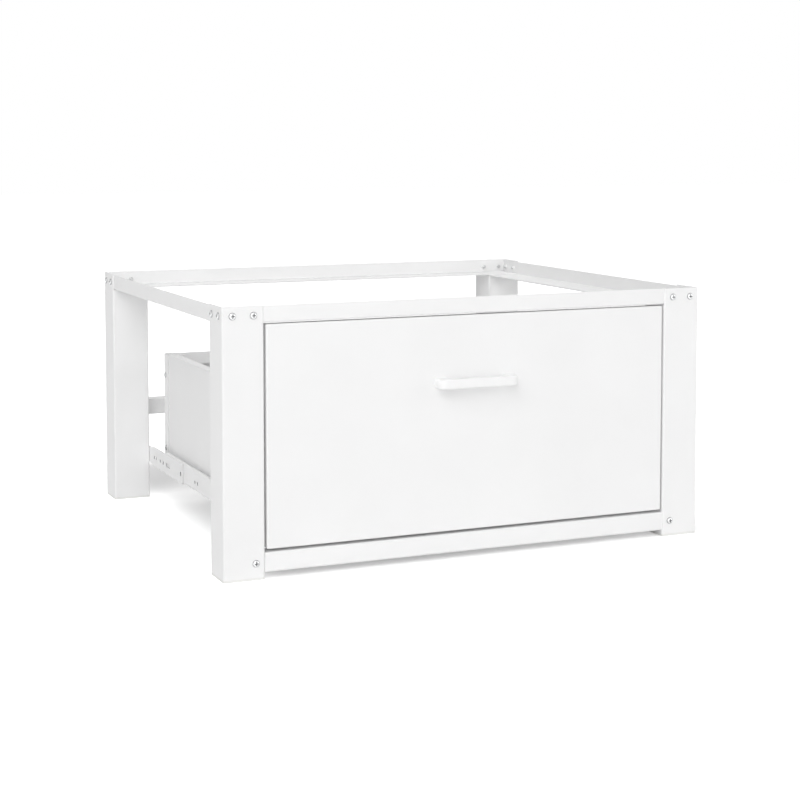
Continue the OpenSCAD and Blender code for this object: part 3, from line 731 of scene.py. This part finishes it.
@dataclass
class Studio:
    """A white floor without an edge, with painted shadow under and behind the object, an even
    white surround and soft boxes.

    Attributes:
        surround: Strength of the white surround.
        floor_colour: The floor's own colour.
        footprint: Reach of the floor with painted shadow to the left, right, front and back, in
            metres.
        painted_shadow_lift_under: What the floor adds for the camera under the object; less than
            beside it, so the real shadow there gets painted shadow over it.
        painted_shadow_lift_behind: What it adds behind the object; least of all, as painted shadow
            over the real shadow there.
        lift_beside: What it adds at the first reach outside the footprint.
        rear_fade: Where in depth the first of these turns into the second, in metres.
        inset: How far inside the footprint it starts to turn into the third, in metres.
        reaches: Distances from the footprint where the floor has that, and where it reads
            white by itself, in metres.
        floor_half: Half the floor's width, in metres.
        lamps: The soft boxes.
    """

    surround: float = 0.27
    floor_colour: str = "#f8f8f8"
    footprint: tuple[float, float, float, float] = (0.25, 0.345, 0.27, 0.46)
    painted_shadow_lift_under: float = 0.33
    painted_shadow_lift_behind: float = 0.06
    lift_beside: float = 0.85
    rear_fade: tuple[float, float] = (0.189, 0.351)
    inset: float = 0.02
    reaches: tuple[float, float] = (0.06, 0.9)
    floor_half: float = 12.0
    lamps: tuple[Lamp, ...] = (
        Lamp("key_upper_left", (-2.36, -1.87, 2.8), (0, 0, 0.15), (2.7, 2.5), 50.0),
        Lamp("front_left_fill", (-4.5, -6.76, 1.85), (0, 0, 0.15), (5.0, 4.0), 93.0),
        Lamp("front_low", (-0.8, -7.0, 0.85), (0, 0, 0.2), (6.8, 1.6), 39.0),
        Lamp("front_high", (-1.2, -5.6, 4.65), (0, 0, 0.15), (5.2, 4.0), 78.0),
        Lamp("right_fill", (3.2, -2.0, 1.3), (0, 0, 0.15), (2.0, 1.8), 24.0),
        Lamp("rear_high", (0.6, 1.9, 2.6), (0, 0, 0.15), (2.0, 1.6), 26.0),
    )

    def build(self) -> None:
        """Makes the surround, the floor and the lamps."""
        self.make_surround()
        self.make_floor()
        for lamp in self.lamps:
            lamp.build()
            LOG.info("lamp %s", lamp.name)
        bpy.context.scene.view_settings.view_transform = "Standard"

    @staticmethod
    def seen(tree: bpy.types.NodeTree) -> bpy.types.NodeSocket:
        """Adds the nodes that are 1 for what the camera, a reflection or glass shows.

        Args:
            tree: The node tree of the floor or the world.

        Returns:
            The output that holds 1 or 0.
        """
        path = add_node(tree, "ShaderNodeLightPath")
        either = add_node(tree, "ShaderNodeMath", {"operation": "MAXIMUM"}, {
            0: path.outputs["Is Camera Ray"], 1: path.outputs["Is Glossy Ray"]})
        return add_node(tree, "ShaderNodeMath", {"operation": "MAXIMUM"}, {
            0: either.outputs[0], 1: path.outputs["Is Transmission Ray"]}).outputs[0]

    def make_surround(self) -> None:
        """Makes the world: white where it is seen, softer where it only lights."""
        world = bpy.data.worlds.new("white_surround")
        world.use_nodes = True
        tree = world.node_tree
        strength = add_node(tree, "ShaderNodeMapRange", None, {
            "Value": self.seen(tree), "To Min": self.surround, "To Max": 1.0})
        back = tree.nodes["Background"]
        back.inputs["Color"].default_value = srgb("#ffffff")
        tree.links.new(strength.outputs["Result"], back.inputs["Strength"])
        bpy.context.scene.world = world

    @staticmethod
    def outside(tree: bpy.types.NodeTree, value: bpy.types.NodeSocket, below: float,
                above: float) -> bpy.types.NodeSocket:
        """Adds the nodes that measure how far a coordinate lies outside a range.

        Args:
            tree: The floor's node tree.
            value: The coordinate.
            below: How far the range reaches below 0.
            above: How far it reaches above 0.

        Returns:
            The output with the distance, which is negative inside.
        """
        middle = add_node(tree, "ShaderNodeMath", {"operation": "SUBTRACT"}, {
            0: value, 1: 0.5 * (above - below)})
        reach = add_node(tree, "ShaderNodeMath", {"operation": "ABSOLUTE"}, {
            0: middle.outputs[0]})
        return add_node(tree, "ShaderNodeMath", {"operation": "SUBTRACT"}, {
            0: reach.outputs[0], 1: 0.5 * (below + above)}).outputs[0]

    def make_floor(self) -> None:
        """Makes the floor: it takes the object's shadow, glows less under and behind the object as
        painted shadow, and reads white elsewhere.
        """
        mesh = bpy.data.meshes.new("floor")
        half = self.floor_half
        corners = [(-half, -half, 0), (half, -half, 0), (half, half, 0), (-half, half, 0)]
        mesh.from_pydata(corners, [], [(0, 1, 2, 3)])
        floor = bpy.data.objects.new("floor", mesh)
        bpy.context.scene.collection.objects.link(floor)
        material = bpy.data.materials.new("painted_floor")
        material.use_nodes = True
        tree = material.node_tree
        shader = tree.nodes["Principled BSDF"]
        shader.inputs["Base Color"].default_value = srgb(self.floor_colour)
        shader.inputs["Roughness"].default_value = 1.0
        shader.inputs["Specular IOR Level"].default_value = 0.0
        shader.inputs["Emission Color"].default_value = srgb("#ffffff")
        place = add_node(tree, "ShaderNodeTexCoord").outputs["Object"]
        left, right, ahead, behind = self.footprint
        parts = add_node(tree, "ShaderNodeSeparateXYZ", None, {0: place})
        beside = self.outside(tree, parts.outputs["X"], left, right)
        along = self.outside(tree, parts.outputs["Y"], ahead, behind)
        away = add_node(tree, "ShaderNodeMath", {"operation": "MAXIMUM"}, {
            0: beside, 1: along})
        near, far = self.reaches
        # painted shadow: the floor's glow drops under the object and further behind it, which
        # darkens the real shadow there
        shade = add_node(tree, "ShaderNodeMapRange", {"interpolation_type": "SMOOTHSTEP"}, {
            "Value": parts.outputs["Y"], "From Min": self.rear_fade[0],
            "From Max": self.rear_fade[1], "To Min": self.painted_shadow_lift_under,
            "To Max": self.painted_shadow_lift_behind})
        under = add_node(tree, "ShaderNodeMapRange", {"interpolation_type": "SMOOTHSTEP"}, {
            "Value": away.outputs[0], "From Min": -self.inset, "From Max": near,
            "To Min": shade.outputs["Result"], "To Max": self.lift_beside})
        rise = add_node(tree, "ShaderNodeMapRange", {"interpolation_type": "SMOOTHSTEP"}, {
            "Value": away.outputs[0], "From Min": 0.5 * near, "From Max": far,
            "To Min": 0.0, "To Max": 1.0 - self.lift_beside})
        total = add_node(tree, "ShaderNodeMath", {"operation": "ADD"}, {
            0: under.outputs["Result"], 1: rise.outputs["Result"]})
        lift = add_node(tree, "ShaderNodeMath", {"operation": "MULTIPLY"}, {
            0: self.seen(tree), 1: total.outputs[0]})
        tree.links.new(lift.outputs[0], shader.inputs["Emission Strength"])
        mesh.materials.append(material)


@dataclass
class PhotoCamera:
    """The photograph's camera, fitted to the edges of the frame and the drawer front.

    Attributes:
        place: Where it stands, in metres.
        turn: Its turn to the right of the object's Y axis, in radians.
        tilt: How far it looks down, in radians.
        lens_mm: Focal length.
        sensor_mm: Width of the sensor.
        drop: How far the lens is shifted down, in picture widths.
    """

    place: tuple[float, float, float] = (-0.9031, -2.11048, 0.51034)
    turn: float = 0.4112
    tilt: float = 0.06981
    lens_mm: float = 77.889
    sensor_mm: float = 36.0
    drop: float = 0.18315

    def build(self) -> None:
        """Adds the camera and makes it the scene's own."""
        data = bpy.data.cameras.new("photo_camera")
        data.lens, data.sensor_width, data.shift_y = self.lens_mm, self.sensor_mm, -self.drop
        camera = bpy.data.objects.new("photo_camera", data)
        camera.location = self.place
        camera.rotation_euler = (math.pi / 2 - self.tilt, 0.0, -self.turn)
        bpy.context.scene.collection.objects.link(camera)
        bpy.context.scene.camera = camera


# ---------- The pedestal ----------


@dataclass
class Assembly:
    """A sub-assembly of the pedestal.

    Attributes:
        nodes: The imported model's nodes by name.
    """

    nodes: dict[str, bpy.types.Object]

    def finish(self, names: Iterable[str], finish: Finish) -> None:
        """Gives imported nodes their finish.

        Args:
            names: The nodes' names.
            finish: The finish that they get.
        """
        for name in names:
            data = self.nodes[name].data
            data.materials.clear()
            data.materials.append(finish.material())
            LOG.info("%s: %s", name, finish.name)


@dataclass
class Frame(Assembly):
    """Legs, rails and foot caps.

    Attributes:
        coat: The finish of the steel.
        plastic: The finish of the foot caps.
    """

    coat: Finish = PowderCoat()
    plastic: Finish = MouldedPolyethylene()

    def dress(self) -> None:
        """Dresses the frame's nodes."""
        self.finish((n for n in self.nodes if n.startswith(("leg_", "top_rail_"))), self.coat)
        self.finish(("lower_front_rail", "rear_crossbar"), self.coat)
        self.finish((n for n in self.nodes if n.startswith("foot_cap_")), self.plastic)


@dataclass
class Slides(Assembly):
    """The two ball bearing slides with their brackets, cages, balls and stops.

    Attributes:
        coat: The finish of the cabinet members, with painted shade in their holes.
        bracket: The finish of the bracket plates, with painted shade in their holes and a darker
            front edge.
        strip: The finish of the drawer members.
        cage: The finish of the ball cages.
        ball: The finish of the balls.
        rubber: The finish of the stops.
    """

    # painted shade in a slide's holes; then painted shade in a bracket's holes, and a darker band
    # on its front edge
    coat: Finish = BandedPowderCoat(name="powder_coat_with_painted_hole_shade_on_slides", bands=(
        DarkBand(across=(262.5, 263.4), along=(-200.0, 155.0), up=(55.0, 67.5),
                 colour="#b2b3b4"),))
    bracket: Finish = BandedPowderCoat(name="powder_coat_with_painted_hole_shade_on_brackets", bands=(
        DarkBand(across=(263.6, 264.9), along=(72.0, 243.0), up=(51.5, 70.0),
                 colour="#b2b3b4"),
        DarkBand(across=(263.4, 265.1), along=(69.0, 69.7), up=(47.0, 75.0),
                 colour="#dcdcdc")))
    strip: Finish = RolledZincStrip()
    cage: Finish = SpringSteel()
    ball: Finish = BearingSteel()
    rubber: Finish = MouldedRubber()

    def dress(self) -> None:
        """Dresses the slides' nodes."""
        for side in ("left", "right"):
            self.finish((f"cabinet_member_{side}",), self.coat)
            self.finish((f"slide_bracket_{side}",), self.bracket)
            self.finish((f"drawer_member_{side}",), self.strip)
            self.finish((f"ball_cage_{side}",), self.cage)
            self.finish((f"balls_{side}",), self.ball)
            self.finish((f"slide_stop_{side}",), self.rubber)


@dataclass
class BowHandle:
    """The die-cast bow handle; sizes in millimetres.

    Attributes:
        length: Length over both feet.
        reach: Reach from the drawer front.
        height: Height of the grip.
        bar: Thickness of the grip.
        foot: Width of a foot.
        outer_r: Radius of the outer corners.
        inner_r: Radius of the corners behind the grip.
        front_r: Radius of the long edges that the hand meets.
        rear_r: Radius of the long edges behind.
        middle_z: Middle of the grip above the floor.
        front_y: The drawer front's face.
        crease: Edges sharper than this angle in degrees stay sharp.
        enamel: Its finish.
    """

    length: float = 104.0
    reach: float = 19.0
    height: float = 12.0
    bar: float = 8.0
    foot: float = 16.0
    outer_r: float = 9.0
    inner_r: float = 7.0
    front_r: float = 2.5
    rear_r: float = 1.4
    middle_z: float = 214.0
    front_y: float = -261.7
    crease: float = 50.0
    enamel: Finish = HandleEnamel()

    FOOT = (0.0, 0.04, 0.35, 0.7)   # sections of a foot, in shares of its height
    GRIP = (0.25, 0.5, 0.75)        # sections of half the grip, in shares of its length
    CORNER_STEPS = 14               # sections round a corner of the bow
    EDGE_STEPS = 6                  # points round a long edge

    def stations(self) -> list[tuple[Vector, Vector]]:
        """Works out where the bow's sections lie.

        Returns:
            The bow's outer and inner points, from the left foot to the right.
        """
        end, inner_end = 0.5 * self.length, 0.5 * self.length - self.foot
        deep, inner_deep = self.reach - self.outer_r, self.reach - self.bar - self.inner_r
        half: list[tuple[Vector, Vector]] = []
        for share in self.FOOT:
            half.append((Vector((-end, deep * share)), Vector((-inner_end, inner_deep * share))))
        for step in range(self.CORNER_STEPS + 1):
            a = step / self.CORNER_STEPS * math.pi / 2
            c, s = math.cos(a), math.sin(a)
            half.append((
                Vector((-end + self.outer_r * (1 - c), deep + self.outer_r * s)),
                Vector((-inner_end + self.inner_r * (1 - c), inner_deep + self.inner_r * s))))
        outer, inner = half[-1]
        for share in self.GRIP:
            half.append((Vector((outer.x * (1 - share), outer.y)),
                         Vector((inner.x * (1 - share), inner.y))))
        other = [(Vector((-o.x, o.y)), Vector((-i.x, i.y))) for o, i in reversed(half)]
        middle = [(Vector((0.0, outer.y)), Vector((0.0, inner.y)))]
        return half + middle + other

    def section(self, outer: Vector, inner: Vector) -> Ring:
        """Makes the rounded section between two points of the bow.

        Args:
            outer: The point on the outside of the bow, as x and depth.
            inner: The point on its inside.

        Returns:
            The section's ring.
        """
        wide, tall = (inner - outer).length, 0.5 * self.height
        along = (inner - outer).normalized()
        corners = ((self.front_r, tall - self.front_r, self.front_r, 90.0),
                   (self.front_r, self.front_r - tall, self.front_r, 180.0),
                   (wide - self.rear_r, self.rear_r - tall, self.rear_r, 270.0),
                   (wide - self.rear_r, tall - self.rear_r, self.rear_r, 0.0))
        ring: Ring = []
        for across, rise, radius, start in corners:
            for step in range(self.EDGE_STEPS + 1):
                a = math.radians(start + 90.0 / self.EDGE_STEPS * step)
                spot = outer + along * (across + radius * math.cos(a))
                height = self.middle_z + rise + radius * math.sin(a)
                ring.append((spot.x, self.front_y - spot.y, height))
        return ring

    def build(self) -> None:
        """Makes the handle in the place of its node."""
        mesh = bmesh.new()
        loft(mesh, [self.section(*pair) for pair in self.stations()], Matrix.Identity(4))
        piece = finished_piece(mesh, "cast_bow_handle", (self.enamel,), self.crease)
        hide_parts("handle")
        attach(piece, "drawer")
        LOG.info("%s: %s", piece.name, self.enamel.name)


@dataclass
class Drawer(Assembly):
    """The drawer front with its handle, and the box behind it.

    Attributes:
        coat: The finish of the front, the sides and the bottom.
        back_coat: The finish of the back.
    """

    coat: Finish = PowderCoat()
    # the cut front edge of a flange that wraps a side
    back_coat: Finish = BandedPowderCoat(name="powder_coat_on_drawer_back", bands=(
        DarkBand(across=(251.4, 252.6), along=(178.1, 178.7), up=(40.0, 206.0),
                 colour="#e2e2e2"),))

    def dress(self) -> None:
        """Dresses the drawer's nodes and makes its handle."""
        self.finish(("drawer_front", "front_liner", "drawer_side_left", "drawer_side_right",
                     "drawer_bottom"), self.coat)
        self.finish(("drawer_back",), self.back_coat)
        BowHandle().build()


class Facing(Enum):
    """The way that the head of a screw on the left faces."""

    FRONT = (0, -1, 0)
    BACK = (0, 1, 0)
    OUTWARD = (-1, 0, 0)
    INWARD = (1, 0, 0)


@dataclass
class Fasteners:
    """All screws, which take the places of their nodes; sizes in millimetres.

    Attributes:
        shift_y: The frame's middle behind the whole object's middle.
        half_w: Half the width over the legs.
        half_d: Half the depth over the legs.
        top_z: Height of the frame's screws.
        steps: Distances of the frame's screws from the leg's outer corner.
        tab_x: Distance of the tab screws from the middle.
        tab_z: Heights of the tab screws in front and behind.
        slide_x: Outer face of a slide's cabinet member.
        slide_z: Middle of the slides.
        slide_y: Places of the sunk screws in the front legs.
        bracket_y: Place of the screw in each rear leg.
        member_x: Outer face of a drawer member's web.
        member_y: Places of the screws that hold it to the drawer.
        box_x: Distance of the box's front screws from the middle.
        flange_y: Place of the box's front flange.
        front_z: Heights of the screws in it.
        side_x: Outer face of the drawer back's flanges.
        back_y: Place of the screws in these flanges.
        back_z: Their heights.
        handle: Place of the handle's screws.
        crease: Edges of a screw sharper than this angle in degrees stay sharp.
        finishes: The finishes of a screw's plating, of its recess painted dark as painted shade,
            and of its rim painted darker as painted shade.
    """

    shift_y: float = 8.3
    half_w: float = 315.0
    half_d: float = 270.0
    top_z: float = 304.0
    steps: tuple[float, float] = (12.5, 37.5)
    tab_x: float = 276.0
    tab_z: tuple[float, float] = (19.5, 123.25)
    slide_x: float = 263.5
    slide_z: float = 61.0
    slide_y: tuple[float, float] = (-243.0, -229.0)
    bracket_y: float = 231.0
    member_x: float = 252.7
    member_y: tuple[float, float, float] = (-230.0, -52.65, 130.7)
    box_x: float = 244.5
    flange_y: float = -254.0
    front_z: tuple[float, float] = (72.0, 177.0)
    side_x: float = 252.5
    back_y: float = 182.0
    back_z: tuple[float, float] = (76.0, 177.0)
    handle: tuple[float, float, float] = (44.0, -269.0, 214.0)
    crease: float = 38.0
    finishes: tuple[Finish, ...] = (BrightZincScrew(), RecessPaintedShade(), ScrewRimPaintedShade())

    frame_screw: CrossScrew = CrossScrew(thread=5.0, head=8.5, rise=2.33, length=7.0, pitch=0.8)
    tab_screw: CrossScrew = CrossScrew(thread=4.0, head=8.5, rise=2.33, length=9.0, pitch=1.4)
    sunk_screw: CrossScrew = CrossScrew(thread=4.0, head=8.0, rise=1.2, length=8.0, pitch=1.4,
                                        form=HeadForm.SUNK)
    bracket_screw: CrossScrew = CrossScrew(thread=4.0, head=7.4, rise=1.8, length=8.0, pitch=1.4)
    member_screw: CrossScrew = replace(bracket_screw, length=5.2)
    front_screw: CrossScrew = replace(bracket_screw, length=6.0)
    back_screw: CrossScrew = replace(bracket_screw, length=5.0)
    handle_screw: CrossScrew = replace(bracket_screw, length=8.5, pitch=0.7)

    def place(self, x: float, y: float, z: float, out: tuple[int, int, int]) -> Matrix:
        """Works out the place of a screw.

        Args:
            x: Its seat, to the right of the middle.
            y: Its seat, behind the frame's middle.
            z: Its seat, above the floor.
            out: The direction that its head faces.

        Returns:
            The place, in metres, with Z along the head.
        """
        spot = Vector((x, y + self.shift_y, z)) * MM
        turn = Vector(out).to_track_quat("Z", "Y").to_matrix().to_4x4()
        return Matrix.Translation(spot) @ turn

    def frame_places(self) -> list[Matrix]:
        """Works out the places of the top screws, two on each outer face of each leg.

        Returns:
            The 16 places.
        """
        places: list[Matrix] = []
        for sx in (-1, 1):
            for sy in (-1, 1):
                for step in self.steps:
                    places.append(self.place(sx * (self.half_w - step), sy * self.half_d,
                                             self.top_z, (0, sy, 0)))
                    places.append(self.place(sx * self.half_w, sy * (self.half_d - step),
                                             self.top_z, (sx, 0, 0)))
        return places

    def both_sides(self, x: float, y: float, z: float, way: Facing) -> list[Matrix]:
        """Works out a place on the left and its mirror image on the right.

        Args:
            x: The seats' distance from the middle.
            y: The seats, behind the frame's middle.
            z: The seats, above the floor.
            way: The way that the left head faces.

        Returns:
            The left place and the right place.
        """
        across, ahead, up = way.value
        return [self.place(-x, y, z, (across, ahead, up)),
                self.place(x, y, z, (-across, ahead, up))]

    def row(self, node: str, body: str, screws: Iterable[tuple[CrossScrew, list[Matrix]]]) -> None:
        """Makes the screws of one node as one piece.

        Args:
            node: The node that they replace.
            body: The body that they move with.
            screws: Each kind of screw with its places.
        """
        mesh = bmesh.new()
        for screw, places in screws:
            for place in places:
                screw.add_to(mesh, place)
        piece = finished_piece(mesh, f"cross_{node}", self.finishes, self.crease)
        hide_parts(node)
        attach(piece, body)
        LOG.info("%s: %s", piece.name, self.finishes[ScrewSlot.ZINC].name)

    def build(self) -> None:
        """Makes every group of screws."""
        self.row("frame_screws", "frame", [(self.frame_screw, self.frame_places())])
        tab_front, tab_rear = self.tab_z
        self.row("tab_screws", "frame", [
            (self.tab_screw, self.both_sides(self.tab_x, -self.half_d, tab_front, Facing.FRONT)),
            (self.tab_screw, self.both_sides(self.tab_x, self.half_d, tab_rear, Facing.BACK))])
        self.row("slide_screws", "frame", [
            (self.sunk_screw, self.both_sides(self.slide_x, y, self.slide_z, Facing.INWARD))
            for y in self.slide_y] + [
            (self.bracket_screw,
             self.both_sides(self.slide_x, self.bracket_y, self.slide_z, Facing.INWARD))])
        self.row("drawer_member_screws", "drawer", [
            (self.member_screw, self.both_sides(self.member_x, y, self.slide_z, Facing.OUTWARD))
            for y in self.member_y])
        self.row("box_front_screws", "drawer", [
            (self.front_screw, self.both_sides(self.box_x, self.flange_y, z, Facing.BACK))
            for z in self.front_z])
        self.row("box_back_screws", "drawer", [
            (self.back_screw, self.both_sides(self.side_x, self.back_y, z, Facing.OUTWARD))
            for z in self.back_z])
        self.row("handle_screws", "drawer", [
            (self.handle_screw, self.both_sides(*self.handle, Facing.BACK))])


def main() -> None:
    """Builds the studio and dresses the pedestal."""
    logging.basicConfig(level=logging.INFO, format="%(name)s: %(message)s")
    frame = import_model()
    PhotoCamera().build()
    Studio().build()
    nodes = frame["nodes"]
    Frame(nodes).dress()
    Slides(nodes).dress()
    Drawer(nodes).dress()
    Fasteners().build()


if __name__ == "__main__":
    main()
